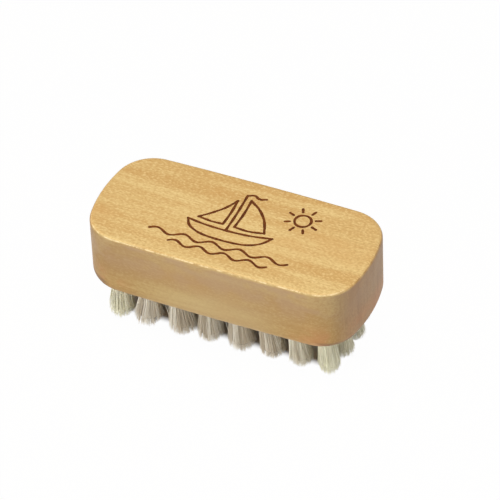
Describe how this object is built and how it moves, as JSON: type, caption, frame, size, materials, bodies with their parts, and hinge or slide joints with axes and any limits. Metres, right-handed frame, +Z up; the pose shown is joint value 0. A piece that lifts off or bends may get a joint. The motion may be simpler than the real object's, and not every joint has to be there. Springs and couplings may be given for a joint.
{
  "type": "nail brush",
  "caption": "Small nail brush: a bowed rectangular wooden block with rounded edges and straight rows of pale hair tufts anchored in blind bores.",
  "frame": {"origin": "bottom centre of the whole brush: the middle of the plane that the bristle tips stand on", "axes": "+X along the block's length, +Y across its width away from the pictured long side, +Z up from the bristle tips to the block's flat top"},
  "size_m": [0.083, 0.038, 0.0351],
  "materials": {
    "wood": "satin",
    "bristle": "matte",
    "anchor_metal": "satin"
  },
  "bodies": {
    "root": {"block": "wood", "anchors_row1": "anchor_metal", "anchors_row2": "anchor_metal", "anchors_row3": "anchor_metal", "anchors_row4": "anchor_metal", "tuft_row1_1": "bristle", "tuft_row1_2": "bristle", "tuft_row1_3": "bristle", "tuft_row1_4": "bristle", "tuft_row1_5": "bristle", "tuft_row1_6": "bristle", "tuft_row1_7": "bristle", "tuft_row1_8": "bristle", "tuft_row2_1": "bristle", "tuft_row2_2": "bristle", "tuft_row2_3": "bristle", "tuft_row2_4": "bristle", "tuft_row2_5": "bristle", "tuft_row2_6": "bristle", "tuft_row2_7": "bristle", "tuft_row2_8": "bristle", "tuft_row3_1": "bristle", "tuft_row3_2": "bristle", "tuft_row3_3": "bristle", "tuft_row3_4": "bristle", "tuft_row3_5": "bristle", "tuft_row3_6": "bristle", "tuft_row3_7": "bristle", "tuft_row3_8": "bristle", "tuft_row4_1": "bristle", "tuft_row4_2": "bristle", "tuft_row4_3": "bristle", "tuft_row4_4": "bristle", "tuft_row4_5": "bristle", "tuft_row4_6": "bristle", "tuft_row4_7": "bristle", "tuft_row4_8": "bristle"}
  },
  "joints": []
}
